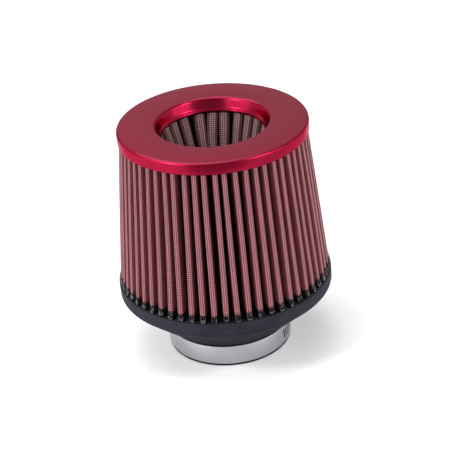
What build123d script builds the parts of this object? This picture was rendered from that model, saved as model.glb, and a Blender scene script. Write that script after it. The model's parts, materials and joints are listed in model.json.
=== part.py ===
from build123d import *
import os
from math import cos, radians, sin, sqrt

# Cone air filter in millimetres and degrees
# +Z runs up the axis and the origin is the middle of the neck's lower end

# Rubber neck, with a groove for the clamp between its end lip and the funnel
bore_diameter = 76.0
bore_length = 23.2
bore_chamfer = 0.8
neck_wall = 4.6
lip_height = 1.5
lip_proud = 0.6
lip_round = 0.4
groove_room = 0.3

# Rubber funnel, rim and the potting that holds the outer pleats
funnel_height = 27.9
shoulder_proud = 0.9
rim_diameter = 150.0
rim_height = 8.9
rim_wall = 0.65
rim_round = 1.8
rim_top_round = 0.4
potting_height = 13.0
potting_margin = 2.0
base_embed = 5.0
bond_gap = 0.1

# Rubber fingers: a skin that coats the folds of the outer pleats above the rim
finger_height = 5.6
finger_coat = 0.3
finger_root = 0.6

# Pleated sheet of wire mesh and gauze
media_thickness = 1.2
fold_round = 0.8

# Outer element, with its folds measured at its lower end
element_height = 107.0
outer_pleat_count = 58
outer_first_tip = 1.5
outer_pleat_depth = 15.5
outer_tip_hollow = 2.0
outer_root_hollow = 1.0

# Reverse cone, with its folds measured at its upper end
cone_length = 68.6
cone_end_diameter = 37.4
cone_clearance = 1.0
element_gap = 2.7
inner_pleat_count = 24
inner_first_tip = 7.5
inner_tip_hollow = 2.6
inner_root_hollow = 3.1

# Metal cap, with its bends measured on their inside
cap_diameter = 130.4
cap_thickness = 0.9
plate_width = 26.3
skirt_height = 7.9
skirt_gap = 0.3
edge_bend = 1.1
well_bend = 1.0
collar_depth = 9.4
collar_lean = 4.5
hem_bend = 0.2
hem_length = 0.8

# Rubber ring under the cap
ring_cover = 2.0
ring_clearance = 0.4
top_embed = 4.0

# Rubber plug at the cone's lower end
plug_floor = 5.0
plug_margin = 2.0
plug_embed = 4.0
plug_round = 1.5

# Clamp band, which laps over itself on the +Y side
band_width = 14.1
band_thickness = 0.7
band_clearance = 0.15
band_seat_gap = 0.1
lap_gap = 0.05
lap_angle = 42.0
ramp_angle = 10.0
slot_count = 33
slot_pitch_angle = 3.8
slot_length = 8.4
slot_width = 1.3
slot_tilt = 8.0

# Clamp housing
housing_length = 14.0
housing_sheet = 0.7
housing_clearance = 0.1
arch_clearance = 0.4
cheek_thickness = 1.0

# Worm screw, with its thread as a plain core
core_diameter = 6.4
thread_height = 0.8
thread_clearance = 0.2
journal_diameter = 4.8
journal_clearance = 0.1
end_play = 0.3
flange_overhang = 0.3
flange_thickness = 1.0
head_overhang = 0.6
head_height = 4.2
head_chamfer = 0.5
driver_slot_width = 1.2
driver_slot_depth = 1.8
tail_diameter = 6.4
tail_thickness = 0.9

# Heights up the axis
band_low = lip_height + band_seat_gap
band_mid = band_low + band_width / 2
groove_high = band_low + band_width + housing_clearance + housing_sheet + groove_room
rim_low = groove_high + funnel_height
rim_high = rim_low + rim_height
finger_high = rim_high + finger_height
pleat_low = rim_high - base_embed
skirt_low = rim_high + element_height
cap_high = skirt_low + skirt_height
plate_low = cap_high - cap_thickness
pleat_high = plate_low - ring_cover
ring_low = pleat_high - top_embed
hem_low = cap_high - collar_depth
cone_low = pleat_high - cone_length

# Neck, rim, cap and clamp radii
bore_radius = bore_diameter / 2
neck_radius = bore_radius + neck_wall
lip_radius = neck_radius + lip_proud
rim_radius = rim_diameter / 2
cap_radius = cap_diameter / 2
well_radius = cap_radius - plate_width
band_inner = neck_radius + band_clearance
band_outer = band_inner + band_thickness
lap_inner = band_outer + lap_gap
lap_outer = lap_inner + band_thickness
core_radius = core_diameter / 2
thread_radius = core_radius + thread_height
screw_offset = lap_outer + thread_clearance + thread_radius

# Back of the tapered collar: its lean, its radius at the top of the cap and the end of its hem
lean = collar_lean / collar_depth
collar_back_high = well_radius + cap_thickness * sqrt(1 + lean**2)
hem_back = collar_back_high - lean * (collar_depth - cap_thickness)
hem_end = hem_back + hem_length

# Fold tips and roots of both elements
outer_tip_low = rim_radius - rim_wall
outer_tip_at_skirt = cap_radius - cap_thickness - skirt_gap
outer_lean = (outer_tip_low - outer_tip_at_skirt) / (skirt_low - pleat_low)
outer_root_low = outer_tip_low - outer_pleat_depth
cone_root_low = cone_end_diameter / 2
cone_root_at_hem = hem_end + cone_clearance
cone_lean = (cone_root_at_hem - cone_root_low) / (hem_low - cone_low)
cone_root_high = cone_root_low + cone_lean * cone_length


def outer_taper(height):
    """Size of the outer element at a height, as a share of its size at its lower end."""
    return 1 - outer_lean * (height - pleat_low) / outer_tip_low


def cone_taper(height):
    """Size of the reverse cone at a height, as a share of its size at its upper end."""
    return 1 - cone_lean * (pleat_high - height) / cone_root_high


cone_tip_high = outer_root_low * outer_taper(pleat_high) - element_gap


def turned(corners):
    """Solid of revolution about Z from corners that each give a radius, a height and a rounding."""
    outline = FilletPolyline(*[(r, z) for r, z, _ in corners], radius=[c for _, _, c in corners], close=True)
    return revolve(Plane.XZ * make_face(outline), Axis.Z)


def beside(radius, side, angle):
    """Point at a distance along the ray at an angle, and so far to the side of that ray."""
    turn = radians(angle)
    return (radius * cos(turn) - side * sin(turn), radius * sin(turn) + side * cos(turn))


def fold_points(radius, width, angle, outward):
    """Four points round the outside of a fold that points away from the axis, or towards it."""
    half = width / 2
    shoulder = radius - outward * fold_round
    spots = [(shoulder, -half), (radius, fold_round - half), (radius, half - fold_round), (shoulder, half)]
    return [beside(r, s, angle) for r, s in spots]


def hollow_points(radius, width, angle):
    """Two points across the inside of a fold."""
    return [beside(radius, -width / 2, angle), beside(radius, width / 2, angle)]


def pleat_outlines(count, first_tip, tip_radius, root_radius, tip_hollow, root_hollow, grow):
    """Outer and inner outline of a pleated sheet all the way round, grown on both sides by a gap."""
    outer = []
    inner = []
    skin = media_thickness + grow
    pitch = 360 / count
    for fold in range(count):
        tip_angle = first_tip + fold * pitch
        root_angle = tip_angle + pitch / 2
        outer += fold_points(tip_radius + grow, tip_hollow + 2 * skin, tip_angle, 1)
        outer += hollow_points(root_radius + skin, root_hollow - 2 * grow, root_angle)
        inner += hollow_points(tip_radius - skin, tip_hollow - 2 * grow, tip_angle)
        inner += fold_points(root_radius - grow, root_hollow + 2 * skin, root_angle, -1)
    return outer, inner


def level(points, height, taper):
    """Outline moved to a height and tapered towards the axis."""
    return [Vector(taper * x, taper * y, height) for x, y in points]


def flanks(low, high):
    """One flat face between each pair of matching edges of two outlines."""
    faces = []
    for i in range(len(low)):
        faces.append(Face(Wire.make_polygon([low[i - 1], low[i], high[i], high[i - 1]], close=True)))
    return faces


def tapered_sheet(outlines, taper, low, high):
    """Pleated sheet that tapers between two heights, sewn from flat faces into one solid."""
    rings = [[level(outline, z, taper(z)) for z in (low, high)] for outline in outlines]
    faces = flanks(*rings[0]) + flanks(*rings[1])
    for outer, inner in zip(*rings):
        faces.append(Face(Wire.make_polygon(outer, close=True), [Wire.make_polygon(inner, close=True)]))
    return Solid(Shell(faces))


def outer_outlines(grow):
    """Outer and inner outline of the outer element at its lower end, grown all over by a gap."""
    return pleat_outlines(
        outer_pleat_count,
        outer_first_tip,
        outer_tip_low,
        outer_root_low,
        outer_tip_hollow,
        outer_root_hollow,
        grow,
    )


def outer_sheet(grow, low, high):
    """The outer element between two heights, grown all over by a gap."""
    return tapered_sheet(outer_outlines(grow), outer_taper, low, high)


def inner_sheet(grow, low, high):
    """The reverse cone between two heights, grown all over by a gap."""
    outlines = pleat_outlines(
        inner_pleat_count,
        inner_first_tip,
        cone_tip_high,
        cone_root_high,
        inner_tip_hollow,
        inner_root_hollow,
        grow,
    )
    return tapered_sheet(outlines, cone_taper, low, high)


def fingers():
    """Rubber skin over the folds of the outer pleats, which rises from the rim as a finger on each pleat."""
    outside, _ = outer_outlines(bond_gap + finger_coat)
    inside, _ = outer_outlines(0)
    return tapered_sheet((outside, inside), outer_taper, rim_high - finger_root, finger_high)


def base():
    """Rubber neck, funnel, rim and fingers in one moulding, with slots for the outer pleats."""
    potting_radius = outer_root_low - potting_margin
    body = turned(
        [
            (bore_radius + bore_chamfer, 0, 0),
            (lip_radius, 0, lip_round),
            (lip_radius, lip_height, lip_round),
            (neck_radius, lip_height, 0),
            (neck_radius, groove_high, 0),
            (neck_radius + shoulder_proud, groove_high, lip_round),
            (rim_radius, rim_low, rim_round),
            (rim_radius, rim_high, rim_top_round),
            (potting_radius, rim_high, rim_top_round),
            (potting_radius, rim_high - potting_height, rim_round),
            (bore_radius, bore_chamfer + bore_length, 0),
            (bore_radius, bore_chamfer, 0),
        ]
    )
    return body + fingers() - outer_sheet(bond_gap, pleat_low, finger_high)


def outer_pleats():
    """Tapered pleated element between the rubber base and the top ring."""
    return outer_sheet(0, pleat_low, pleat_high)


def inner_pleats():
    """Pleated reverse cone that hangs from the top ring."""
    return inner_sheet(0, cone_low, pleat_high)


def inner_plug():
    """Rubber disc moulded on the lower end of the reverse cone."""
    plug_low = cone_low - plug_floor
    plug_high = cone_low + plug_embed
    plug_radius = cone_tip_high * cone_taper(plug_high) + plug_margin
    disc = turned(
        [
            (0, plug_low, 0),
            (plug_radius, plug_low, plug_round),
            (plug_radius, plug_high, plug_round),
            (0, plug_high, 0),
        ]
    )
    return disc - inner_sheet(bond_gap, cone_low, plug_high)


def top_cap():
    """Metal ring spun from one sheet: skirt, flat top, tapered collar and a hem rolled under it."""
    return turned(
        [
            (cap_radius, skirt_low, 0),
            (cap_radius, cap_high, edge_bend + cap_thickness),
            (well_radius, cap_high, well_bend + cap_thickness),
            (well_radius - collar_lean, hem_low, hem_bend + cap_thickness),
            (hem_end, hem_low, 0),
            (hem_end, hem_low + cap_thickness, 0),
            (hem_back, hem_low + cap_thickness, hem_bend),
            (collar_back_high - lean * cap_thickness, plate_low, well_bend),
            (cap_radius - cap_thickness, plate_low, edge_bend),
            (cap_radius - cap_thickness, skirt_low, 0),
        ]
    )


def top_ring():
    """Rubber ring that holds the upper ends of both elements under the cap."""
    outer_radius = cap_radius - cap_thickness - bond_gap
    inner_high = collar_back_high - lean * (cap_high - pleat_high) + ring_clearance
    inner_low = collar_back_high - lean * (cap_high - ring_low) + ring_clearance
    ring = turned(
        [
            (outer_radius, ring_low, 0),
            (outer_radius, plate_low, edge_bend + cap_thickness),
            (inner_high + ring_cover + well_bend, plate_low, 0),
            (inner_high, pleat_high, 0),
            (inner_low, ring_low, 0),
        ]
    )
    ring = ring - outer_sheet(bond_gap, ring_low, pleat_high)
    return ring - inner_sheet(bond_gap, ring_low, pleat_high)


def arc_strip(inner, outer, first_angle, last_angle):
    """Flat strip between two radii and two angles."""
    span = last_angle - first_angle
    inner_arc = CenterArc((0, 0), inner, first_angle, span)
    outer_arc = CenterArc((0, 0), outer, first_angle, span)
    ends = [Line(inner_arc @ 0, outer_arc @ 0), Line(inner_arc @ 1, outer_arc @ 1)]
    return make_face([inner_arc, outer_arc, *ends])


def clamp_band():
    """Stainless strip once round the neck that ramps up and laps over its own start."""
    lap_start = 90 - lap_angle / 2
    lap_end = 90 + lap_angle / 2
    ramp_start = lap_start - ramp_angle
    ramp = Polyline(
        beside(band_inner, 0, ramp_start),
        beside(band_outer, 0, ramp_start),
        beside(lap_outer, 0, lap_start),
        beside(lap_inner, 0, lap_start),
        close=True,
    )
    strip = arc_strip(band_inner, band_outer, lap_start, ramp_start + 360)
    strip = strip + make_face(ramp) + arc_strip(lap_inner, lap_outer, lap_start, lap_end)
    band = Pos(0, 0, band_low) * extrude(strip, band_width)
    outward = (Align.MIN, Align.CENTER, Align.CENTER)
    lap_cutter = Box(2 * band_thickness, slot_width, slot_length, align=outward)
    strip_cutter = Box(6 * band_thickness, slot_width, slot_length)
    for slot in range(slot_count):
        angle = lap_end - (slot + 1) * slot_pitch_angle
        cutter = lap_cutter if angle > lap_start else strip_cutter
        spot = Pos(0, 0, band_mid) * Rot(0, 0, angle) * Pos(band_outer + lap_gap / 2, 0, 0)
        band -= spot * Rot(slot_tilt, 0, 0) * cutter
    return band


def arch_face(half_width, low):
    """Round-topped outline over the screw, from a height up: across the band, then out from the axis."""
    top = CenterArc((0, screw_offset), half_width, 0, 180)
    sides = Polyline(top @ 1, (-half_width, low), (half_width, low), top @ 0)
    return make_face([top, sides])


def saddle_face(half_width, high):
    """Outline over the band, from the neck up to a height: across the band, then out from the axis."""
    return Pos(0, (neck_radius + high) / 2) * Rectangle(2 * half_width, high - neck_radius)


def clamp_housing():
    """Stamped arch over the screw, with legs beside the band and a cheek at each end."""
    arch_inner = thread_radius + arch_clearance
    arch_outer = arch_inner + housing_sheet
    leg_inner = band_width / 2 + housing_clearance
    leg_outer = leg_inner + housing_sheet
    shoulder_low = lap_outer + housing_clearance
    shoulder_high = shoulder_low + housing_sheet
    near_end = Plane((housing_length / 2, 0, band_mid), x_dir=(0, 0, 1), z_dir=(-1, 0, 0))
    far_cheek = near_end.offset(housing_length - cheek_thickness)
    arch = arch_face(arch_outer, shoulder_low)
    outside = saddle_face(leg_outer, shoulder_high) + arch
    inside = saddle_face(leg_inner, shoulder_low) + arch_face(arch_inner, shoulder_low)
    journal_hole = Pos(0, screw_offset) * Circle(journal_diameter / 2 + journal_clearance)
    housing = extrude(near_end * (outside - inside), housing_length)
    for end in (near_end, far_cheek):
        housing += extrude(end * (arch - journal_hole), cheek_thickness)
    neck_space = Cylinder(max(band_outer, lip_radius) + housing_clearance, 2 * cap_high)
    return housing - neck_space


def clamp_screw():
    """Worm screw with two journals, a flange, a slotted hex head and a peened tail."""
    tail_radius = tail_diameter / 2
    journal_radius = journal_diameter / 2
    flange_radius = thread_radius + flange_overhang
    core_end = housing_length / 2 - cheek_thickness - end_play
    flange_low = housing_length / 2 + end_play
    tail_low = -flange_low - tail_thickness
    head_low = flange_low + flange_thickness
    shank = turned(
        [
            (0, tail_low, 0),
            (tail_radius, tail_low, 0),
            (tail_radius, -flange_low, 0),
            (journal_radius, -flange_low, 0),
            (journal_radius, -core_end, 0),
            (core_radius, -core_end, 0),
            (core_radius, core_end, 0),
            (journal_radius, core_end, 0),
            (journal_radius, flange_low, 0),
            (flange_radius, flange_low, 0),
            (flange_radius, head_low, 0),
            (0, head_low, 0),
        ]
    )
    hexagon = RegularPolygon(thread_radius + head_overhang, 6)
    head = Pos(0, 0, head_low) * extrude(hexagon, head_height)
    head = chamfer(head.faces().sort_by(Axis.Z)[-1].edges(), head_chamfer)
    slot = Box(4 * thread_radius, driver_slot_width, 2 * driver_slot_depth)
    screw = shank + head - Pos(0, 0, head_low + head_height) * slot
    return Pos(0, screw_offset, band_mid) * Rot(0, 90, 0) * screw


pieces = {
    "base": base,
    "outer_pleats": outer_pleats,
    "inner_pleats": inner_pleats,
    "inner_plug": inner_plug,
    "top_ring": top_ring,
    "top_cap": top_cap,
    "clamp_band": clamp_band,
    "clamp_housing": clamp_housing,
    "clamp_screw": clamp_screw,
}
os.makedirs("parts", exist_ok=True)
for node, make in pieces.items():
    export_step(make(), f"parts/{node}.step")
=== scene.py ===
"""Dresses the cone air filter: folded gauze and mesh, moulded rubber, anodised cap and hose clamp."""

import json
import random
from math import atan2, cos, pi, radians, sin, tan, tau

import bmesh
import bpy
from bpy.props import FloatProperty, FloatVectorProperty, IntProperty, PointerProperty
from mathutils import Matrix, Vector


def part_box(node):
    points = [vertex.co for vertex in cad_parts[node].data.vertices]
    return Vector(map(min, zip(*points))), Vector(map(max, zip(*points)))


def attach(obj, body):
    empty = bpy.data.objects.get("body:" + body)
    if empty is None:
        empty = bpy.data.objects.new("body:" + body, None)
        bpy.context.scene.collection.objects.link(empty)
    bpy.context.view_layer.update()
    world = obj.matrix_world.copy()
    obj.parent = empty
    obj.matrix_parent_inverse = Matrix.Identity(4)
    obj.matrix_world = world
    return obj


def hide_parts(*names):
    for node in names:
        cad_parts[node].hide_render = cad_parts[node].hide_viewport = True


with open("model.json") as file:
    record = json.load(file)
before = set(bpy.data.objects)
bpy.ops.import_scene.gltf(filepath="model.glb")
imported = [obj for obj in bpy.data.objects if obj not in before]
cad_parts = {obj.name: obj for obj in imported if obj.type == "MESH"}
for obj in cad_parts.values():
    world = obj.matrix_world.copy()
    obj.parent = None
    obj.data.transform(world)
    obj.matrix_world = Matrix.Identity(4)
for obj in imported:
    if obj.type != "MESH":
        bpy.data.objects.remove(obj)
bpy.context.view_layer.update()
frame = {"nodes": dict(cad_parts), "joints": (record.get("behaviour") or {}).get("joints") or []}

bl_info = {
    "name": "Cone Air Filter",
    "version": (1, 0, 0),
    "blender": (4, 5, 0),
    "location": "View3D > Sidebar > Air Filter",
    "description": "Models and finishes the pieces of a cone air filter round its packed frame",
    "category": "Object",
}

MM = 0.001
UP = Vector((0, 0, 1))
ORIGIN = Vector((0, 0, 0))

# Places read from the frame
base_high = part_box("base")[1]
cap_low, cap_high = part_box("top_cap")
pleats_low, pleats_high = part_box("outer_pleats")
cone_low, cone_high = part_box("inner_pleats")
band_low, band_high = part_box("clamp_band")
housing_low, housing_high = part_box("clamp_housing")
screw_low, screw_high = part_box("clamp_screw")
screw_axis = Vector(frame["joints"][0]["pos_m"])


def length(name, description, default):
    """Size property in metres with its default in millimetres."""
    return FloatProperty(name=name, description=description, default=default * MM, unit="LENGTH", precision=5)


def angle(name, description, default):
    """Angle property with its default in degrees."""
    return FloatProperty(name=name, description=description, default=radians(default), subtype="ANGLE")


def colour(name, description, default):
    """Colour property in linear light."""
    return FloatVectorProperty(
        name=name,
        description=description,
        default=default,
        subtype="COLOR",
        min=0,
        max=1,
    )


def amount(name, description, default):
    """Whole number of pieces or cuts."""
    return IntProperty(name=name, description=description, default=default, min=1)


class FilterSizes(bpy.types.PropertyGroup):
    """Sizes of the filter's pieces."""

    bore_diameter: length("Bore", "Inside diameter of the rubber neck", 76)
    bore_top: length("Bore top", "Height where the straight bore ends", 24)
    bore_chamfer: length("Bore chamfer", "Chamfer at the lower end of the bore", 0.8)
    neck_wall: length("Neck wall", "Thickness of the neck in the clamp's groove", 4.6)
    lip_height: length("Lip height", "Height of the lip below the clamp", 1.5)
    lip_proud: length("Lip", "How far the end lip stands out of the groove", 0.6)
    groove_high: length("Groove top", "Height where the groove meets the funnel", 16.8)
    shoulder_proud: length("Shoulder", "How far the funnel's foot stands out of the groove", 0.9)
    rim_low: length("Rim foot", "Height where the funnel meets the rim", 44.7)
    rim_high: length("Rim top", "Height of the rim's upper face", 53.6)
    rim_round: length("Rim rounding", "Rounding between the funnel and the rim", 1.8)
    mould_line: length("Mould line", "Depth of the fine lines that the mould left", 0.12)
    potting_low: length("Potting foot", "Height of the potting's lower inner edge", 40.6)
    potting_radius: length("Potting radius", "Radius of the potting's inner face", 56.85)
    finger_coat: length("Finger coat", "Rubber over the folds above the rim", 0.4)
    finger_ripple: length("Finger ripple", "How far the rubber draws back from the tips", 1.1)
    outer_count: amount("Outer pleats", "Pleats of the outer element", 58)
    outer_first: angle("First outer pleat", "Angle of the first outer pleat from +X", 1.5)
    outer_tip: length("Outer tip", "Radius of the outer pleats' tips at their lower end", 74.35)
    outer_tip_high: length("Outer tip at top", "Radius of the outer pleats' tips at their upper end", 63.54)
    outer_depth: length("Outer pleat depth", "Depth of the outer pleats at their lower end", 15.5)
    outer_width: length("Outer tip width", "Width of the outer pleats' tips", 3.6)
    outer_round: length("Outer tip rounding", "Rounding of the outer pleats' tips", 1.1)
    outer_valley: length("Outer valley", "Width of the outer valleys' floor", 1.0)
    valley_round: length("Outer valley rounding", "Rounding of the outer valleys' floor", 0.4)
    inner_count: amount("Inner pleats", "Pleats of the reverse cone", 24)
    inner_crest: length("Inner crest", "Radius of the reverse cone's crests at its upper end", 39.55)
    inner_crest_low: length("Inner crest below", "Radius of the crests at the cone's lower end", 18.7)
    inner_tip: length("Inner tip", "Outer radius of the reverse cone at its upper end", 47.6)
    inner_width: length("Inner crest width", "Width of the reverse cone's crests", 5.5)
    inner_round: length("Inner crest rounding", "Rounding of the reverse cone's crests", 1.6)
    inner_valley: length("Inner valley", "Width of the reverse cone's valleys", 2.6)
    inner_valley_round: length("Inner valley rounding", "Rounding of the reverse cone's valleys", 0.9)
    sheet: length("Sheet", "Thickness of the folded sheet", 1.0)
    wire_pitch: length("Wire pitch", "Distance between the wires of the mesh", 1.5)
    cap_thickness: length("Cap sheet", "Thickness of the cap's metal", 0.9)
    plate_width: length("Plate width", "Width of the cap's flat top", 26.3)
    skirt_low: length("Skirt edge", "Height of the skirt's lower edge", 160.6)
    edge_bend: length("Edge bend", "Inside rounding of the cap's outer edge", 1.1)
    well_bend: length("Well bend", "Inside rounding of the edge of the well", 1.6)
    collar_wall: length("Collar wall", "Height of the collar above its ledge", 6.4)
    collar_lean: length("Collar lean", "How far the collar leans in to its ledge", 2.35)
    collar_bend: length("Collar bend", "Inside rounding between the collar and its ledge", 2.0)
    ledge_width: length("Ledge", "How far the ledge stands in from the collar", 1.5)
    ledge_drop: length("Ledge drop", "How far the ledge falls to its edge", 1.65)
    hem_round: length("Hem rounding", "Outside rounding of the hem", 0.8)
    hem_bend: length("Hem bend", "Inside rounding of the hem", 0.2)
    hem_length: length("Hem", "Length of the hem behind the collar", 0.8)
    band_thickness: length("Band", "Thickness of the clamp's band", 0.7)
    lap_gap: length("Lap gap", "Room between the band and its lap", 0.05)
    lap_angle: angle("Lap", "Angle over which the band laps over itself", 42)
    ramp_angle: angle("Ramp", "Angle over which the band climbs to its lap", 10)
    slot_count: amount("Worm slots", "Slots punched in the band", 37)
    slot_pitch: angle("Slot pitch", "Angle from one worm slot to the next", 3.8)
    slot_tilt: angle("Slot tilt", "Angle of a worm slot across the band", 8)
    slot_length: length("Slot length", "Length of a worm slot", 7.4)
    slot_width: length("Slot width", "Width of a worm slot", 1.3)
    housing_sheet: length("Housing sheet", "Thickness of the clamp's housing", 0.7)
    shoulder_high: length("Housing shoulder", "Distance of the housing's shoulders from the axis", 45.0)
    leg_trim: length("Leg trim", "How far the housing's legs stop short at their middle", 0.6)
    cheek: length("Cheek", "Thickness of the housing's cheeks", 1.0)
    journal_hole: length("Journal hole", "Diameter of the holes in the cheeks", 5.0)
    journal_diameter: length("Journal", "Diameter of the screw in the cheeks", 4.8)
    core_diameter: length("Core", "Diameter of the worm screw's core and tail", 6.4)
    tail_thickness: length("Tail", "Thickness of the peened tail", 0.9)
    flange_thickness: length("Flange", "Thickness of the flange under the head", 1.0)
    end_play: length("End play", "Room between the core and the cheeks", 0.3)
    thread_pitch: length("Thread pitch", "Pitch of the worm's thread", 2.93)
    thread_height: length("Thread height", "Height of the worm's thread", 0.8)
    driver_slot: length("Driver slot", "Width of the slot in the head", 1.2)
    driver_slot_depth: length("Driver slot depth", "Depth of the slot in the head", 1.8)


class FilterColours(bpy.types.PropertyGroup):
    """Colours of the filter's finishes."""

    rubber: colour("Rubber", "Moulded rubber", (0.0190, 0.0190, 0.0255))
    gauze: colour("Gauze", "Oiled cotton gauze", (0.125, 0.012, 0.020))
    wire: colour("Wire", "Coated wire of the mesh", (0.51, 0.163, 0.215))
    # Painted highlight: this wire colour is painted along the bends of the fold tips, for the glint there.
    glint_wire: colour("Worn wire", "Wire that is rubbed bare on the edges of the folds", (0.41, 0.225, 0.240))
    # Painted shade: the reverse cone is folded from the same sheet as the outer element, but its gauze is
    # painted much darker for the shade down in the well.
    inner_gauze: colour("Inner gauze", "Gauze of the reverse cone", (0.030, 0.008, 0.010))
    inner_wire: colour("Inner wire", "Wire of the reverse cone", (0.42, 0.285, 0.27))
    anodised: colour("Anodised", "Red anodised metal", (0.36, 0.010, 0.046))
    blasted: colour("Blasted", "Red anodised metal where its flat top was blasted", (0.255, 0.006, 0.036))
    stainless: colour("Stainless", "Brushed band of the clamp", (0.50, 0.49, 0.52))
    plated: colour("Plated", "Plated steel of the clamp's screw", (0.50, 0.50, 0.52))
    floor: colour("Floor", "Studio floor", (0.85, 0.85, 0.85))
    card: colour("Card", "Grey studio card", (0.45, 0.45, 0.45))


def sizes():
    """The filter's sizes in the open scene."""
    return bpy.context.scene.filter_sizes


def colours():
    """The filter's colours in the open scene."""
    return bpy.context.scene.filter_colours


# Modelling helpers


def rounded(corners, steps=5, closed=True):
    """Outline through corners that each give x, y and a rounding, with every rounding drawn as an arc."""
    points = []
    count = len(corners)
    for i, (x, y, radius) in enumerate(corners):
        here = Vector((x, y))
        if radius == 0 or (not closed and i in (0, count - 1)):
            points.append(here)
            continue
        before = (Vector(corners[i - 1][:2]) - here).normalized()
        after = (Vector(corners[(i + 1) % count][:2]) - here).normalized()
        half = before.angle(after) / 2
        centre = here + (before + after).normalized() * radius / sin(half)
        start = here + before * radius / tan(half) - centre
        sweep = start.angle_signed(here + after * radius / tan(half) - centre)
        for step in range(steps + 1):
            turn = -sweep * step / steps
            points.append(centre + Matrix.Rotation(turn, 2) @ start)
    return points


def beside(radius, side, turn):
    """Point at a distance along the ray at an angle, and so far to the side of that ray."""
    return (radius * cos(turn) - side * sin(turn), radius * sin(turn) + side * cos(turn))


def new_vertex(name, place):
    """New piece in edit mode that holds one vertex, where a line can start."""
    bpy.ops.object.select_all(action="DESELECT")
    bpy.ops.mesh.primitive_plane_add(size=MM, calc_uvs=False, enter_editmode=True)
    piece = bpy.context.object
    piece.name = piece.data.name = name
    bpy.ops.mesh.select_all(action="SELECT")
    bpy.ops.mesh.merge(type="CENTER")
    bpy.ops.transform.translate(value=place)
    return piece


def draw(points):
    """Draw a line on from the selected vertex through points."""
    for start, end in zip(points, points[1:]):
        bpy.ops.mesh.extrude_vertices_move(TRANSFORM_OT_translate={"value": end - start})


def close_mesh():
    """Merge what meets in the open mesh, turn its faces outwards and leave edit mode."""
    bpy.ops.mesh.select_all(action="SELECT")
    bpy.ops.mesh.remove_doubles(threshold=0.001 * MM)
    bpy.ops.mesh.normals_make_consistent(inside=False)
    bpy.ops.object.mode_set(mode="OBJECT")


def spun(name, outline, steps, centre=ORIGIN, axis=UP, out=Vector((1, 0, 0))):
    """Piece turned on a lathe: an outline of distance from the axis and place along it, spun once round."""
    points = [centre + out * r + axis * z for r, z in outline]
    piece = new_vertex(name, points[0])
    draw(points + points[:1])
    bpy.ops.mesh.select_all(action="SELECT")
    bpy.ops.mesh.remove_doubles(threshold=0.001 * MM)
    bpy.ops.mesh.spin(steps=steps, angle=tau, center=centre, axis=axis)
    close_mesh()
    return piece


def outline_piece(name, points, direction):
    """Piece made by filling a closed outline and extruding it."""
    piece = new_vertex(name, points[0])
    draw(points + points[:1])
    bpy.ops.mesh.select_all(action="SELECT")
    bpy.ops.mesh.remove_doubles(threshold=0.001 * MM)
    bpy.ops.mesh.edge_face_add()
    bpy.ops.mesh.extrude_region_move(TRANSFORM_OT_translate={"value": direction})
    close_mesh()
    return piece


def apply_modifier(piece, kind, **settings):
    """Add a modifier to a piece with these settings and apply it."""
    bpy.context.view_layer.objects.active = piece
    modifier = piece.modifiers.new(kind.title(), kind)
    for name, value in settings.items():
        setattr(modifier, name, value)
    bpy.ops.object.modifier_apply(modifier=modifier.name)


def bevel(piece, width, segments, limit=60):
    """Round the edges of a piece that are sharper than an angle in degrees."""
    edges = {"limit_method": "ANGLE", "angle_limit": radians(limit)}
    apply_modifier(piece, "BEVEL", width=width, segments=segments, **edges)


def select_only(*pieces):
    """Select these pieces and make the first one active."""
    bpy.ops.object.select_all(action="DESELECT")
    for piece in pieces:
        piece.select_set(True)
    bpy.context.view_layer.objects.active = pieces[0]


def join(name, *pieces):
    """Join pieces into the first one."""
    select_only(*pieces)
    bpy.ops.object.join()
    pieces[0].name = pieces[0].data.name = name
    return pieces[0]


def cut(piece, cutter):
    """Cut a piece with another, which is used up."""
    apply_modifier(piece, "BOOLEAN", operation="DIFFERENCE", object=cutter, solver="EXACT")
    select_only(cutter)
    bpy.ops.object.delete()


def smooth(piece, limit=35):
    """Shade a piece smooth where its faces meet at less than an angle in degrees."""
    select_only(piece)
    bpy.ops.object.shade_smooth_by_angle(angle=radians(limit))


def seat(piece, body, node, material):
    """Give a piece its finish, put it on its body and let it stand for its node."""
    piece.data.materials.clear()
    piece.data.materials.append(material)
    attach(piece, body)
    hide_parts(node)


# Shader helpers


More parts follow.
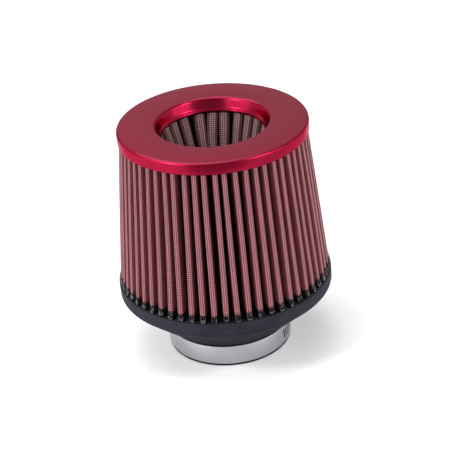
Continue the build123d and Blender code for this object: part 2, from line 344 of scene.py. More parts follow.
class Shade:
    """A socket in a material's node tree, so that shader maths reads as Python."""

    def __init__(self, tree, socket=None):
        self.tree = tree
        self.socket = socket

    def node(self, kind, settings=None, inputs=None, output=0):
        """Add a node, set it up, fill or link its inputs and wrap one of its outputs."""
        made = self.tree.nodes.new(kind)
        for name, value in (settings or {}).items():
            setattr(made, name, value)
        for key, value in (inputs or {}).items():
            if isinstance(value, Shade):
                self.tree.links.new(value.socket, made.inputs[key])
            else:
                made.inputs[key].default_value = value
        return Shade(self.tree, made.outputs[output])

    def maths(self, operation, *values):
        """Math node on values and sockets."""
        return self.node("ShaderNodeMath", {"operation": operation}, dict(enumerate(values)))

    def __add__(self, other):
        return self.maths("ADD", self, other)

    def __sub__(self, other):
        return self.maths("SUBTRACT", self, other)

    def __rsub__(self, other):
        return self.maths("SUBTRACT", other, self)

    def __mul__(self, other):
        return self.maths("MULTIPLY", self, other)

    def __truediv__(self, other):
        return self.maths("DIVIDE", self, other)

    __radd__ = __add__
    __rmul__ = __mul__

    def ramp(self, low, high):
        """Smooth step from 0 at low to 1 at high."""
        settings = {"interpolation_type": "SMOOTHSTEP"}
        return self.node("ShaderNodeMapRange", settings, {"Value": self, "From Min": low, "From Max": high})

    def mix(self, first, second):
        """Colour between two colours, with this socket as the share of the second."""
        return self.node("ShaderNodeMix", {"data_type": "RGBA"}, {0: self, 6: first, 7: second}, 2)

    def noise(self, vector, scale, detail=2.0):
        """Noise between 0 and 1 on a vector."""
        return self.node("ShaderNodeTexNoise", {}, {"Vector": vector, "Scale": scale, "Detail": detail})

    def vector(self, x, y, z):
        """Vector from three values."""
        return self.node("ShaderNodeCombineXYZ", {}, {0: x, 1: y, 2: z})

    def bump(self, height, distance, strength=1.0):
        """Normal from a height, with the relief's depth as a distance."""
        return self.node("ShaderNodeBump", {}, {"Height": height, "Distance": distance, "Strength": strength})


class Finish:
    """A material under way: its principled shader and the coordinates that its patterns read."""

    def __init__(self, name):
        self.material = bpy.data.materials.new(name)
        self.material.use_nodes = True
        tree = self.material.node_tree
        self.shader = tree.nodes["Principled BSDF"]
        self.start = Shade(tree)
        self.place = self.start.node("ShaderNodeTexCoord", output="Object")

    def uv(self, name):
        """Coordinates of a UV map."""
        return self.start.node("ShaderNodeUVMap", {"uv_map": name})

    def axes(self, vector):
        """The three parts of a vector."""
        return [self.start.node("ShaderNodeSeparateXYZ", {}, {0: vector}, axis) for axis in range(3)]

    def round_axis(self):
        """Angle, distance and height about the filter's axis."""
        x, y, z = self.axes(self.place)
        return x.maths("ARCTAN2", y, x), x.maths("SQRT", x * x + y * y), z

    def set(self, **values):
        """Set or link inputs of the shader, with words joined by underscores."""
        for key, value in values.items():
            socket = self.shader.inputs[key.replace("_", " ")]
            if isinstance(value, Shade):
                self.start.tree.links.new(value.socket, socket)
            else:
                socket.default_value = value
        return self.material


def tinted(rgb, share=1.0):
    """Colour property as a socket's colour, darkened to a share."""
    return (*[share * part for part in rgb], 1)


def rubber_finish():
    """Moulded rubber: dark slate, with a fine grain, faint lines round the mould and a random bloom;
    everything above the rim's foot is painted lighter than the funnel as painted light.
    """
    finish = Finish("moulded_rubber")
    turn, _, height = finish.round_axis()
    grain = finish.start.noise(finish.place, 2600, 3)
    bloom = finish.start.noise(finish.place, 55, 4)
    lines = finish.start.noise(finish.start.vector(turn * 0.4, 0.0, height * 900), 1.0, 3)
    # Painted light: the rubber above the rim's foot is painted lighter than the funnel below it, on top of
    # the rubber's own random bloom.
    rim = height.ramp(sizes().rim_low - 1 * MM, sizes().rim_low + 1.5 * MM)
    bloom_and_painted_rim_light = (bloom + rim * 0.35).ramp(0.35, 0.95)
    tone = bloom_and_painted_rim_light.mix(tinted(colours().rubber, 0.7), tinted(colours().rubber, 1.9))
    relief = grain * 0.6 + lines * 0.8
    return finish.set(
        Base_Color=tone,
        Roughness=0.48 + bloom * 0.16,
        Specular_IOR_Level=0.07,
        Normal=finish.start.bump(relief, 0.03 * MM),
    )


def dipped_finish():
    """Rubber that coats the folds above the rim: blacker than the moulding, with small glossy lumps."""
    finish = Finish("dipped_rubber")
    lumps = finish.start.noise(finish.place, 520, 3)
    grain = finish.start.noise(finish.place, 1800, 2)
    return finish.set(
        Base_Color=lumps.ramp(0.35, 0.7).mix(tinted(colours().rubber, 0.15), tinted(colours().rubber, 0.45)),
        Roughness=0.12 + grain * 0.2,
        Specular_IOR_Level=0.14,
        Coat_Weight=lumps.ramp(0.46, 0.56),
        Coat_Roughness=0.06,
        Coat_IOR=1.7,
        Normal=finish.start.bump(lumps + grain * 0.3, 1.4 * MM),
    )


def mesh_finish(name, gauze, steel, dip):
    """Cotton gauze under a woven wire mesh, which follows the folds and is wet with rubber below a height;
    its flanks are painted darker towards the valleys as painted shade and lighter near the tips as painted
    light, and the bends of its tips carry a painted highlight.
    """
    finish = Finish(name)
    across, along, _ = finish.axes(finish.uv("wires"))
    rise, edge, _ = finish.axes(finish.uv("folds"))

    def wire(place, other):
        """Height of the wires that lie at whole values of a place, weaving over and under the others."""
        off = place.maths("FRACT", place) - 0.5
        nearest = place.maths("ROUND", place)
        weave = place.maths("SINE", (other + nearest) * pi)
        return off.maths("ABSOLUTE", off).ramp(0.24, 0.44) * (0.8 + 0.2 * weave)

    uprights = wire(across, along)
    rounds = wire(along, across)
    mesh = uprights.maths("MAXIMUM", uprights, rounds)
    soak = finish.start.noise(finish.place, 70, 3)
    threads = finish.start.noise(finish.place, 900, 2)
    cloth = soak.ramp(0.3, 0.7).mix(tinted(gauze, 0.4), tinted(gauze, 0.8))
    # Painted light: a lighter copy of the gauze for the flanks near the tips.
    lit_cloth = soak.ramp(0.3, 0.7).mix(tinted(gauze, 0.9), tinted(gauze, 1.4))
    # Painted highlight: the wire takes the glint colour along the bends of the fold tips.
    metal = edge.mix(tinted(steel), tinted(colours().glint_wire))
    share = mesh.ramp(0.25, 0.6)
    # Painted shade and light: each flank goes from dark gauze at its valley to the lit gauze near its tip,
    # with only half the wire showing.
    flank_painted_shade_and_light = rise.ramp(0.25, 0.95).mix(tinted(gauze, 0.15), (share * 0.5).mix(lit_cloth, metal))
    dry = rise.ramp(0.92, 0.99).mix(flank_painted_shade_and_light, share.mix(cloth, metal))
    height = finish.axes(finish.place)[2]
    smear = finish.start.noise(finish.place, 450, 3)
    clear = (height + smear * 4 * MM).ramp(dip + 1 * MM, dip + 4.2 * MM)
    return finish.set(
        Base_Color=clear.mix(tinted(colours().rubber, 0.5), dry),
        Roughness=0.85 - share * 0.35,
        Specular_IOR_Level=0.3,
        Normal=finish.start.bump(mesh + threads * 0.3, 0.2 * MM),
    )


def anodised_finish():
    """Red anodised metal: blasted on the flat top, satin on the skirt, bright on the collar."""
    finish = Finish("red_anodised_metal")
    turn, radius, height = finish.round_axis()
    flat = height.ramp(cap_high.z - 0.5 * MM, cap_high.z - 0.1 * MM)
    skirt = radius.ramp(cap_high.x - 20 * MM, cap_high.x - 10 * MM)
    blast = finish.start.noise(finish.place, 4200, 2)
    cloud = finish.start.noise(finish.place, 30, 3)
    lathe = finish.start.noise(finish.start.vector(turn * 0.3, radius * 1500, height * 1500), 1.0, 2)
    tone = flat.mix(tinted(colours().anodised), tinted(colours().blasted))
    return finish.set(
        Base_Color=cloud.ramp(0.3, 0.7).mix(tone, tinted(colours().blasted)),
        Metallic=1.0,
        Roughness=0.21 + skirt * 0.03 + flat * 0.2 + lathe * 0.06,
        Specular_Tint=(0.9, 0.5, 0.55, 1),
        Coat_Weight=0.12 + flat * 0.6,
        Coat_Roughness=0.1,
        Normal=finish.start.bump(flat * blast + lathe * 0.1, 0.012 * MM),
    )


def brushed_finish(name, tint):
    """Steel brushed along the band, so that highlights run across it."""
    finish = Finish(name)
    turn, _, height = finish.round_axis()
    scratch = finish.start.noise(finish.start.vector(turn * 1.5, 0.0, height * 16000), 1.0, 3)
    cloud = finish.start.noise(finish.place, 90, 3)
    tone = scratch.mix(tinted(tint, 0.9), tinted(tint, 1.08))
    return finish.set(
        Base_Color=tone,
        Metallic=1.0,
        Roughness=0.26 + cloud * 0.08 + scratch * 0.05,
        Anisotropic=0.8,
        Anisotropic_Rotation=0.25,
        Normal=finish.start.bump(scratch, 0.02 * MM),
    )


def plated_finish():
    """Bright plated steel, a little clouded."""
    finish = Finish("plated_steel")
    cloud = finish.start.noise(finish.place, 420, 4)
    tone = cloud.ramp(0.3, 0.7).mix(tinted(colours().plated, 0.85), tinted(colours().plated, 1.1))
    return finish.set(
        Base_Color=tone,
        Metallic=1.0,
        Roughness=0.2 + cloud * 0.14,
        Normal=finish.start.bump(cloud, 0.01 * MM),
    )


def matt_finish(name, tint):
    """Matt studio surface."""
    finish = Finish(name)
    mottle = finish.start.noise(finish.place, 3, 2)
    tone = mottle.mix(tinted(tint, 0.99), tinted(tint))
    return finish.set(Base_Color=tone, Roughness=0.9)


def material(make, *arguments):
    """Material made by a function, once for all pieces that share it."""
    key = (make.__name__, *arguments[:1])
    if key not in made_materials:
        made_materials[key] = make(*arguments)
    return made_materials[key]


made_materials = {}


# Folded elements


def folded_wall(name, profile, levels, count):
    """Wall of folds: one fold drawn flat, raised through levels of height and scale, then spun in copies."""
    height, scale = levels[0]
    points = [Vector((x * scale, y * scale, height)) for x, y in profile]
    piece = new_vertex(name, points[0])
    draw(points)
    bpy.ops.mesh.select_all(action="SELECT")
    for (low, before), (high, after) in zip(levels, levels[1:]):
        bpy.ops.mesh.extrude_edges_move(TRANSFORM_OT_translate={"value": (0, 0, high - low)})
        share = after / before
        bpy.ops.transform.resize(value=(share, share, 1), center_override=(0, 0, high))
    map_fold(piece, profile, levels)
    bpy.ops.mesh.select_all(action="SELECT")
    turns = count - 1
    bpy.ops.mesh.spin(steps=turns, dupli=True, angle=tau * turns / count, center=ORIGIN, axis=UP)
    close_mesh()
    return piece


def map_fold(piece, profile, levels):
    """UV maps of one fold: wire pitches along its line and up its slope, and its rise with the bends of its
    tip, where the finish paints a highlight.
    """
    across = [0.0]
    for start, end in zip(profile, profile[1:]):
        across.append(across[-1] + (end - start).length)
    along = [0.0]
    reach = max(point.length for point in profile)
    for (low, before), (high, after) in zip(levels, levels[1:]):
        along.append(along[-1] + Vector((high - low, reach * (after - before))).length)
    floor = profile[0].length
    tip = profile[len(profile) // 2].length
    rises = [(point.length - floor) / (tip - floor) for point in profile]
    bends = [(b - a).angle(c - b) for a, b, c in zip(profile, profile[1:], profile[2:])]
    # Bends of the tip, which mark where the finish paints a highlight.
    edges = [bend / max(bends) if rise > 0.5 else 0 for bend, rise in zip([0, *bends, 0], rises)]
    mesh = bmesh.from_edit_mesh(piece.data)
    wires = mesh.loops.layers.uv.new("wires")
    folds = mesh.loops.layers.uv.new("folds")
    pitch = sizes().wire_pitch
    for face in mesh.faces:
        for corner in face.loops:
            row, column = divmod(corner.vert.index, len(profile))
            corner[wires].uv = (across[column] / pitch, along[row] / pitch)
            corner[folds].uv = (rises[column], edges[column])
    bmesh.update_edit_mesh(piece.data)


def levels_between(low, high, scale, steps):
    """Heights from low to high with the scale at each, from 1 to the last scale."""
    return [(low + (high - low) * i / steps, 1 + (scale - 1) * i / steps) for i in range(steps + 1)]


def unsettle(piece, low, high, first, folds):
    """Turn, bow and push each fold of a wall between two heights; a fold gives two angles and a distance."""
    count = len(folds)
    pitch = tau / count
    for vertex in piece.data.vertices:
        place = vertex.co
        fold, part = divmod((atan2(place.y, place.x) - first) / pitch, 1)
        share = min(1, max(0, (part - 0.3) / 0.4))
        share = share * share * (3 - 2 * share)
        rise = (place.z - low) / (high - low)
        turn = 0
        push = 0
        for index, weight in ((int(fold) % count, 1 - share), ((int(fold) + 1) % count, share)):
            lean, bow, proud = folds[index]
            turn += weight * (lean * rise + bow * sin(pi * rise))
            push += weight * proud * sin(pi * rise)
        place.rotate(Matrix.Rotation(turn, 3, "Z"))
        place.xy *= 1 + push / place.xy.length


def loose_folds(seed, count, lean, bow, proud):
    """Lean, bow and push of each fold, drawn at random about nothing with these spreads."""
    draws = random.Random(seed)
    return [(draws.gauss(0, lean), draws.gauss(0, bow), draws.gauss(0, proud)) for _ in range(count)]


def outer_profile(coat=0.0):
    """One fold of the outer element at its lower end, from valley to valley, grown outwards by a coat."""
    size = sizes()
    half = pi / size.outer_count
    tip = size.outer_tip + coat
    floor = size.outer_tip - size.outer_depth + size.sheet + coat
    side = size.outer_width / 2 + coat
    valley = size.outer_valley / 2 - coat
    bend = size.outer_round + coat
    root = size.valley_round - 0.9 * coat
    first = size.outer_first
    corners = [
        (*beside(floor, 0, first - half), 0),
        (*beside(floor, valley, first - half), root),
        (*beside(tip, -side, first), bend),
        (*beside(tip, side, first), bend),
        (*beside(floor, -valley, first + half), root),
        (*beside(floor, 0, first + half), 0),
    ]
    return rounded(corners, 4, closed=False)


def outer_folds():
    """How the outer folds lie, the same for the element and the rubber on it."""
    return loose_folds(11, sizes().outer_count, radians(0.26), radians(0.24), 0.12 * MM)


class FILTER_OT_outer_pleats(bpy.types.Operator):
    """Fold the outer element from one sheet of gauze and wire mesh"""

    bl_idname = "filter.outer_pleats"
    bl_label = "Outer pleats"

    def execute(self, context):
        size = sizes()
        levels = levels_between(pleats_low.z, pleats_high.z, size.outer_tip_high / size.outer_tip, 12)
        piece = folded_wall("pleated_outer_element", outer_profile(), levels, size.outer_count)
        unsettle(piece, pleats_low.z, pleats_high.z, size.outer_first, outer_folds())
        apply_modifier(piece, "SOLIDIFY", thickness=size.sheet, offset=-1, use_even_offset=True)
        smooth(piece, 50)
        finish = material(mesh_finish, "gauze_and_mesh", colours().gauze, colours().wire, base_high.z)
        seat(piece, "filter", "outer_pleats", finish)
        return {"FINISHED"}


class FILTER_OT_inner_pleats(bpy.types.Operator):
    """Fold the reverse cone inside the well from the same sheet"""

    bl_idname = "filter.inner_pleats"
    bl_label = "Inner pleats"

    def execute(self, context):
        size = sizes()
        half = pi / size.inner_count
        floor = size.inner_tip - size.sheet
        corners = [
            (*beside(floor, 0, -half), 0),
            (*beside(floor, size.inner_valley / 2, -half), size.inner_valley_round),
            (*beside(size.inner_crest, -size.inner_width / 2, 0), size.inner_round),
            (*beside(size.inner_crest, size.inner_width / 2, 0), size.inner_round),
            (*beside(floor, -size.inner_valley / 2, half), size.inner_valley_round),
            (*beside(floor, 0, half), 0),
        ]
        profile = rounded(corners, 4, closed=False)
        levels = levels_between(cone_high.z, cone_low.z, size.inner_crest_low / size.inner_crest, 10)
        piece = folded_wall("pleated_reverse_cone", profile, levels, size.inner_count)
        folds = loose_folds(5, size.inner_count, radians(2.4), radians(1.7), 0.3 * MM)
        for fold, turn in pinched_folds.items():
            folds[fold] = (radians(turn), *folds[fold][1:])
        unsettle(piece, cone_low.z, cone_high.z, 0, folds)
        apply_modifier(piece, "SOLIDIFY", thickness=size.sheet, offset=1, use_even_offset=True)
        smooth(piece, 50)
        # Painted shade: the reverse cone's dark gauze colour stands in for the shade in the well.
        finish = material(mesh_finish, "inner_gauze_and_mesh", colours().inner_gauze, colours().inner_wire, 0)
        seat(piece, "filter", "inner_pleats", finish)
        return {"FINISHED"}


# Degrees by which folds of the reverse cone lean at its mouth, counted from +X
pinched_folds = {1: 0, 2: 4, 3: 2, 4: 0, 5: 1, 6: -3, 7: -2, 8: 2, 9: 1, 10: 0}


class FILTER_OT_base(bpy.types.Operator):
    """Turn the rubber neck, funnel and rim"""

    bl_idname = "filter.base"
    bl_label = "Rubber base"

    def execute(self, context):
        size = sizes()
        bore = size.bore_diameter / 2
        neck = bore + size.neck_wall
        lip = neck + size.lip_proud
        rim = base_high.x
        foot = Vector((neck + size.shoulder_proud, size.groove_high))
        brow = Vector((rim, size.rim_low))
        inward = Vector((-(brow - foot).y, (brow - foot).x)).normalized() * size.mould_line
        corners = [
            (bore + size.bore_chamfer, 0, 0),
            (lip, 0, 0.4 * MM),
            (lip, size.lip_height, 0.4 * MM),
            (neck, size.lip_height, 0.2 * MM),
            (neck, size.groove_high, 0.2 * MM),
            (*foot, 0.5 * MM),
        ]
        for share in mould_lines:
            middle = foot.lerp(brow, share)
            along = (brow - foot).normalized() * size.mould_line
            corners += [(*(middle - along), 0), (*(middle + inward), 0), (*(middle + along), 0)]
        corners += [
            (*brow, size.rim_round),
            (rim, size.rim_high, 0.5 * MM),
            (size.potting_radius, size.rim_high, 0.4 * MM),
            (size.potting_radius, size.potting_low, size.rim_round),
            (bore, size.bore_top, 0.8 * MM),
            (bore, size.bore_chamfer, 0),
        ]
        piece = spun("rubber_base", rounded(corners), 256)
        smooth(piece)
        seat(piece, "filter", "base", material(rubber_finish))
        return {"FINISHED"}


# Shares of the way up the funnel where the mould left a line
mould_lines = (0.62, 0.78)


class FILTER_OT_fingers(bpy.types.Operator):
    """Mould the rubber that coats the folds above the rim, as a finger on each pleat"""

    bl_idname = "filter.fingers"
    bl_label = "Rubber fingers"

    def execute(self, context):
        size = sizes()
        coat = size.finger_coat
        low = size.rim_high - 0.6 * MM
        high = base_high.z
        lean = (size.outer_tip_high / size.outer_tip - 1) / (pleats_high.z - pleats_low.z)
        levels = []
        for share in (0, 0.5, 0.8, 1):
            height = low + share * (high - low)
            levels.append((height, 1 + lean * (height - pleats_low.z)))
        piece = folded_wall("rubber_fingers", outer_profile(coat), levels, size.outer_count)
        draws = random.Random(3)
        drops = [(0.3 + 0.7 * draws.random()) * size.finger_ripple for _ in range(size.outer_count)]
        pitch = tau / size.outer_count
        reach = size.outer_tip * levels[-1][1]
        for vertex in piece.data.vertices:
            place = vertex.co
            if place.z > high - 0.01 * MM:
                fold = round((atan2(place.y, place.x) - size.outer_first) / pitch) % size.outer_count
                rise = 1 - (reach - place.xy.length) / (size.outer_depth / 2)
                place.z -= drops[fold] * min(1, max(0, rise))
        unsettle(piece, pleats_low.z, pleats_high.z, size.outer_first, outer_folds())
        apply_modifier(piece, "SOLIDIFY", thickness=coat + 0.06 * MM, offset=-1, use_even_offset=True)
        bevel(piece, 0.12 * MM, 2)
        smooth(piece, 50)
        seat(piece, "filter", "base", material(dipped_finish))
        return {"FINISHED"}


class FILTER_OT_cap(bpy.types.Operator):
    """Spin the red metal cap with its skirt, flat top, collar and hem"""

    bl_idname = "filter.cap"
    bl_label = "Metal cap"

    def execute(self, context):
        size = sizes()
        sheet = size.cap_thickness
        rim = cap_high.x
        top = cap_high.z
        hem = cap_low.z
        well = rim - size.plate_width
        collar = Vector((well - size.collar_lean, top - size.collar_wall))
        mouth = collar.x - size.ledge_width
        lean = size.collar_lean / size.collar_wall
        ledge_lean = size.ledge_width / size.ledge_drop
        wall_back = sheet * (1 + lean**2) ** 0.5
        ledge_back = sheet * (1 + ledge_lean**2) ** 0.5
        drop = (ledge_back - wall_back) / (ledge_lean - lean)
        hem_back = collar.x + ledge_back - ledge_lean * (collar.y - hem - sheet)
        hem_end = hem_back + size.hem_length
        corners = [
            (rim, size.skirt_low, 0.25 * MM),
            (rim, top, size.edge_bend + sheet),
            (well, top, size.well_bend + sheet),
            (*collar, size.collar_bend),
            (mouth, collar.y - size.ledge_drop, size.hem_round),
            (mouth, hem, size.hem_round),
            (hem_end, hem, 0.2 * MM),
            (hem_end, hem + sheet, 0.2 * MM),
            (hem_back, hem + sheet, size.hem_bend),
            (collar.x + wall_back - lean * drop, collar.y - drop, size.collar_bend + sheet),
            (well + wall_back - lean * sheet, top - sheet, size.well_bend),
            (rim - sheet, top - sheet, size.edge_bend),
            (rim - sheet, size.skirt_low, 0.25 * MM),
        ]
        piece = spun("anodised_cap", rounded(corners, 8), 288)
        smooth(piece)
        seat(piece, "filter", "top_cap", material(anodised_finish))
        return {"FINISHED"}


class FILTER_OT_hidden_rubber(bpy.types.Operator):
    """Finish the rubber plug of the reverse cone and the ring under the cap"""

    bl_idname = "filter.hidden_rubber"
    bl_label = "Plug and ring"

    def execute(self, context):
        for name in ("inner_plug", "top_ring"):
            node = frame["nodes"][name]
            node.data.materials.clear()
            node.data.materials.append(material(rubber_finish))
        return {"FINISHED"}


class FILTER_OT_clamp_band(bpy.types.Operator):
    """Bend the clamp's band round the neck, lap it and punch its worm slots"""

    bl_idname = "filter.clamp_band"
    bl_label = "Clamp band"

    def execute(self, context):
        size = sizes()
        sheet = size.band_thickness
        inner = -band_low.x - sheet
        lap = band_high.y - sheet
        lap_start = (pi - size.lap_angle) / 2
        lap_end = (pi + size.lap_angle) / 2
        ramp_start = lap_start - size.ramp_angle
        start = Vector((inner * cos(lap_start), inner * sin(lap_start), band_low.z))
        rise = Vector((0, 0, band_high.z - band_low.z))
        piece = new_vertex("clamp_strip", start)
        draw([start, start + rise])
        bpy.ops.mesh.select_all(action="SELECT")
        # A spin by a negative angle goes towards larger angles about +Z
        once_round = size.ramp_angle - tau
        bpy.ops.mesh.spin(steps=180, angle=once_round, center=ORIGIN, axis=UP, use_auto_merge=False)
        foot = Vector((*beside(inner, 0, ramp_start), 0))
        brow = Vector((*beside(lap, 0, lap_start), 0))
        bpy.ops.mesh.extrude_edges_move(TRANSFORM_OT_translate={"value": brow - foot})
        bpy.ops.mesh.spin(steps=24, angle=-size.lap_angle, center=ORIGIN, axis=UP, use_auto_merge=False)
        close_mesh()
        face_outwards(piece)
        apply_modifier(piece, "SOLIDIFY", thickness=sheet, offset=1, use_even_offset=True)
        bevel(piece, 0.18 * MM, 3)
        punches = []
        middle = (band_low.z + band_high.z) / 2
        for slot in range(size.slot_count):
            turn = lap_end - (slot + 1) * size.slot_pitch
            on_lap = turn > lap_start
            depth = 2 * sheet if on_lap else 6 * sheet
            away = lap + (depth - size.lap_gap) / 2 if on_lap else lap
            place = (away * cos(turn), away * sin(turn), middle)
            bpy.ops.mesh.primitive_cube_add(
                size=1,
                location=place,
                rotation=(size.slot_tilt, 0, turn),
                scale=(depth, size.slot_width, size.slot_length),
            )
            punches.append(bpy.context.object)
        cut(piece, join("slot_punch", *punches))
        smooth(piece)
        finish = material(brushed_finish, "brushed_band", colours().stainless)
        seat(piece, "filter", "clamp_band", finish)
        return {"FINISHED"}


def face_outwards(piece):
    """Turn a sheet's faces away from the filter's axis."""
    face = piece.data.polygons[0]
    if face.normal.xy.dot(face.center.xy) < 0:
        select_only(piece)
        bpy.ops.object.mode_set(mode="EDIT")
        bpy.ops.mesh.select_all(action="SELECT")
        bpy.ops.mesh.flip_normals()
        bpy.ops.object.mode_set(mode="OBJECT")


class FILTER_OT_clamp_housing(bpy.types.Operator):
    """Stamp the arch over the worm screw, with its legs and cheeks"""

    bl_idname = "filter.clamp_housing"
    bl_label = "Clamp housing"

    def execute(self, context):
        size = sizes()
        sheet = size.housing_sheet
        leg = (housing_high.z - housing_low.z) / 2
        out = screw_axis.y
        arch = housing_high.y - out
        foot = housing_low.y + size.leg_trim
        shoulder = size.shoulder_high
        inside = [
            (-leg + sheet, foot, 0),
            (-leg + sheet, shoulder - sheet, 0.2 * MM),
            (sheet - arch, shoulder - sheet, 0.9 * MM),
            (sheet - arch, out, 0),
        ]
        outside = [
            (-arch, out, 0),
            (-arch, shoulder, 0.2 * MM),
            (-leg, shoulder, 0.9 * MM),
            (-leg, foot, 0),
        ]
        near = rounded(inside, 4, closed=False) + bow(arch - sheet, out)
        far = list(reversed(bow(arch, out))) + rounded(outside, 4, closed=False)
        half = near + [Vector((-p.x, p.y)) for p in reversed(rounded(inside, 4, closed=False))]
        rest = [Vector((-p.x, p.y)) for p in reversed(rounded(outside, 4, closed=False))] + far
        run = Vector((housing_high.x * 2, 0, 0))
        shell = outline_piece("housing_shell", on_end(half + rest, housing_low.x), run)
        cheek = [Vector((-arch, shoulder))] + bow(arch, out) + [Vector((arch, shoulder))]
        cheeks = []
        for end, depth in ((housing_low.x, size.cheek), (housing_high.x, -size.cheek)):
            cheeks.append(outline_piece("housing_cheek", on_end(cheek, end), Vector((depth, 0, 0))))
        bpy.ops.mesh.primitive_cylinder_add(
            vertices=40,
            radius=size.journal_hole / 2,
            depth=4 * housing_high.x,
            location=screw_axis,
            rotation=(0, pi / 2, 0),
        )
        hole = bpy.context.object
        cheeks = join("housing_cheeks", *cheeks)
        cut(cheeks, hole)
        piece = join("clamp_arch", shell, cheeks)
        bevel(piece, 0.14 * MM, 2)
        smooth(piece)
        finish = material(brushed_finish, "brushed_band", colours().stainless)
        seat(piece, "filter", "clamp_housing", finish)
        return {"FINISHED"}


def bow(radius, out):
    """Half circle over the screw, from the left to the right: across the band, then out from the axis."""
    steps = 24
    turns = [pi * i / steps for i in range(steps + 1)]
    return [Vector((-radius * cos(turn), out + radius * sin(turn))) for turn in turns]


def on_end(points, x):
    """Points across the band and out from the axis, placed at an end of the housing."""
    return [Vector((x, p.y, screw_axis.z + p.x)) for p in points]


class FILTER_OT_clamp_screw(bpy.types.Operator):
    """Turn the worm screw, wind its thread and cut its slotted head"""

    bl_idname = "filter.clamp_screw"
    bl_label = "Worm screw"

    def execute(self, context):
        size = sizes()
        along = Vector((1, 0, 0))
        core = size.core_diameter / 2
        journal = size.journal_diameter / 2
        flange = (screw_high.y - screw_low.y) / 2
        tail_end = screw_low.x
        flange_low = -tail_end - size.tail_thickness
        head_low = flange_low + size.flange_thickness
        core_end = housing_high.x - size.cheek - size.end_play
        outline = [
            (0, tail_end, 0),
            (core, tail_end, 0.25 * MM),
            (core, -flange_low, 0.15 * MM),
            (journal, -flange_low, 0),
            (journal, -core_end, 0),
            (core, -core_end, 0.3 * MM),
            (core, core_end, 0.3 * MM),
            (journal, core_end, 0),
            (journal, flange_low, 0),
            (flange, flange_low, 0.25 * MM),
            (flange, head_low, 0.25 * MM),
            (0, head_low, 0),
        ]
        axis = Vector((0, screw_axis.y, screw_axis.z))
        shank = spun("screw_shank", rounded(outline, 3), 64, axis, along, Vector((0, 1, 0)))
        thread = wound_thread(core, core_end)
        head = hex_head(head_low)
        piece = join("worm_screw", shank, thread, head)
        smooth(piece, 30)
        seat(piece, "clamp_screw", "clamp_screw", material(plated_finish))
        return {"FINISHED"}


def wound_thread(core, core_end):
    """Worm thread: a tooth wound along the screw's core."""
    size = sizes()
    tooth = size.thread_pitch * 0.8
    root = core - 0.1 * MM
    start = -core_end + 0.1 * MM
    turns = int((2 * core_end - tooth) / size.thread_pitch)
    crest = core + size.thread_height
    corners = [
        (start, root, 0),
        (start + tooth * 0.35, crest, 0.1 * MM),
        (start + tooth * 0.65, crest, 0.1 * MM),
        (start + tooth, root, 0),
    ]
    points = [Vector((x, 0, z)) for x, z in rounded(corners, 2)]
    piece = new_vertex("screw_thread", points[0])
    draw(points + points[:1])
    bpy.ops.mesh.select_all(action="SELECT")
    bpy.ops.mesh.remove_doubles(threshold=0.001 * MM)
    bpy.ops.object.mode_set(mode="OBJECT")
    apply_modifier(
        piece,
        "SCREW",
        axis="X",
        screw_offset=size.thread_pitch,
        iterations=turns,
        steps=36,
        render_steps=36,
        use_normal_calculate=True,
    )
    piece.location = (0, screw_axis.y, screw_axis.z)
    select_only(piece)
    bpy.ops.object.transform_apply(location=True, rotation=False, scale=False)
    bpy.ops.object.mode_set(mode="EDIT")
    bpy.ops.mesh.select_all(action="SELECT")
    bpy.ops.mesh.fill_holes(sides=0)
    close_mesh()
    return piece


def hex_head(low):
    """Hexagon head with a driver slot."""
    size = sizes()
    tall = screw_high.x - low
    corner = (screw_high.z - screw_low.z) / 2
    bpy.ops.object.select_all(action="DESELECT")
    bpy.ops.mesh.primitive_cylinder_add(
        vertices=6,
        radius=corner,
        depth=tall,
        location=(low + tall / 2, screw_axis.y, screw_axis.z),
        rotation=(0, pi / 2, 0),
    )
    piece = bpy.context.object
    piece.name = piece.data.name = "screw_head"
    bpy.ops.transform.rotate(value=pi / 6, orient_axis="X", center_override=piece.location)
    bpy.ops.object.transform_apply(location=True, rotation=True, scale=True)
    bevel(piece, 0.4 * MM, 3, 40)
    bpy.ops.mesh.primitive_cube_add(
        size=1,
        location=(screw_high.x, screw_axis.y, screw_axis.z),
        scale=(2 * size.driver_slot_depth, size.driver_slot, 4 * corner),
    )
    cut(piece, bpy.context.object)
    return piece


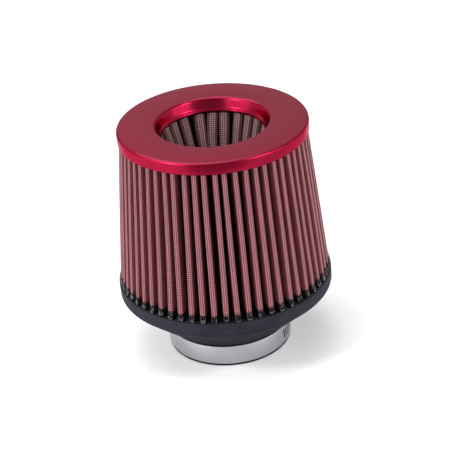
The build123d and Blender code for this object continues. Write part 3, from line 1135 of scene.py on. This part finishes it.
class FILTER_OT_stage(bpy.types.Operator):
    """Set up the floor, the studio lights and the camera"""

    bl_idname = "filter.stage"
    bl_label = "Stage"

    def execute(self, context):
        scene = context.scene
        scene.view_settings.view_transform = "Standard"
        scene.view_settings.exposure = 0.25
        scene.view_settings.gamma = 0.85
        bpy.ops.object.select_all(action="DESELECT")
        bpy.ops.mesh.primitive_plane_add(size=14)
        floor = context.object
        floor.name = floor.data.name = "studio_floor"
        floor.data.materials.append(material(matt_finish, "pale_floor", colours().floor))
        world = bpy.data.worlds.new("studio")
        world.use_nodes = True
        world.node_tree.nodes["Background"].inputs["Color"].default_value = (1, 1, 1, 1)
        world.node_tree.nodes["Background"].inputs["Strength"].default_value = 0.58
        scene.world = world
        for name, place, width, height, power in softboxes:
            bpy.ops.object.light_add(type="AREA", location=place)
            lamp = context.object
            lamp.name = lamp.data.name = name
            lamp.data.shape = "RECTANGLE"
            lamp.data.size = width
            lamp.data.size_y = height
            lamp.data.energy = power
            lamp.rotation_mode = "QUATERNION"
            lamp.rotation_quaternion = (light_target - Vector(place)).to_track_quat("-Z", "Y")
        self.add_card()
        self.add_camera(scene)
        return {"FINISHED"}

    def add_card(self):
        """Grey card before the filter that only its reflections show, as a camera and its stand would be."""
        bpy.ops.mesh.primitive_plane_add(size=1, location=card_place, rotation=(pi / 2, 0, 0))
        card = bpy.context.object
        card.name = card.data.name = "grey_card"
        card.scale = (card_width, card_height, 1)
        bpy.ops.object.transform_apply(location=True, rotation=True, scale=True)
        card.data.materials.append(material(matt_finish, "grey_card", colours().card))
        card.visible_camera = False
        card.visible_shadow = False
        card.visible_diffuse = False

    def add_camera(self, scene):
        """Camera at the photograph's angle."""
        forward = Vector((sin(view_yaw) * cos(view_pitch), cos(view_yaw) * cos(view_pitch), -sin(view_pitch)))
        right = forward.cross(UP).normalized()
        down = forward.cross(right)
        sideways = right * cos(view_roll) + down * sin(view_roll)
        upwards = right * sin(view_roll) - down * cos(view_roll)
        bpy.ops.object.camera_add()
        camera = bpy.context.object
        camera.name = camera.data.name = "photo_camera"
        turned = Matrix((sideways, upwards, -forward)).transposed().to_4x4()
        camera.matrix_world = Matrix.Translation(view_place) @ turned
        camera.data.sensor_width = 36
        camera.data.lens = view_lens
        camera.data.clip_start = 0.01
        scene.camera = camera


# Camera of the photograph
view_place = Vector((0, -0.94765, 0.60143))
view_yaw = 0.0028
view_pitch = 0.4962
view_roll = 0.0865
view_lens = 123.6

# Softboxes and lamps: name, place, width, height, power
light_target = Vector((0, 0, 0.09))
softboxes = (
    ("left_softbox", (-1.08, -0.68, 0.68), 1.3, 1.2, 7),
    ("left_lamp", (-0.95, -0.58, 1.05), 0.35, 0.14, 7),
    ("right_softbox", (1.15, -0.58, 0.66), 1.0, 1.1, 5.5),
    ("right_lamp", (0.95, -0.58, 1.05), 0.35, 0.14, 5.5),
    ("top_softbox", (-0.3, 0.35, 1.3), 1.4, 1.2, 9),
    ("left_wall", (-1.7, 0.5, 0.4), 1.8, 1.2, 4),
    ("right_wall", (1.7, 0.5, 0.4), 1.8, 1.2, 2.5),
)

# Grey card: place of its middle, width and height
card_place = (0.015, -0.32, 0.4)
card_width = 0.4
card_height = 0.8


class FILTER_PT_panel(bpy.types.Panel):
    """Sizes, colours and pieces of the air filter"""

    bl_idname = "FILTER_PT_panel"
    bl_label = "Cone Air Filter"
    bl_space_type = "VIEW_3D"
    bl_region_type = "UI"
    bl_category = "Air Filter"

    def draw(self, context):
        layout = self.layout
        for group in (context.scene.filter_sizes, context.scene.filter_colours):
            column = layout.column(align=True)
            for name in group.__annotations__:
                column.prop(group, name)
        for step in steps:
            layout.operator(step.bl_idname)


steps = (
    FILTER_OT_base,
    FILTER_OT_fingers,
    FILTER_OT_outer_pleats,
    FILTER_OT_inner_pleats,
    FILTER_OT_hidden_rubber,
    FILTER_OT_cap,
    FILTER_OT_clamp_band,
    FILTER_OT_clamp_housing,
    FILTER_OT_clamp_screw,
    FILTER_OT_stage,
)
classes = (FilterSizes, FilterColours, *steps, FILTER_PT_panel)


def register():
    """Register the classes and hang the sizes and colours on the scene."""
    for item in classes:
        bpy.utils.register_class(item)
    bpy.types.Scene.filter_sizes = PointerProperty(type=FilterSizes)
    bpy.types.Scene.filter_colours = PointerProperty(type=FilterColours)


def unregister():
    """Take the classes away again."""
    del bpy.types.Scene.filter_colours
    del bpy.types.Scene.filter_sizes
    for item in reversed(classes):
        bpy.utils.unregister_class(item)


def main():
    """Make every piece in order."""
    register()
    for step in steps:
        group, name = step.bl_idname.split(".")
        getattr(getattr(bpy.ops, group), name)()


if __name__ == "__main__":
    main()
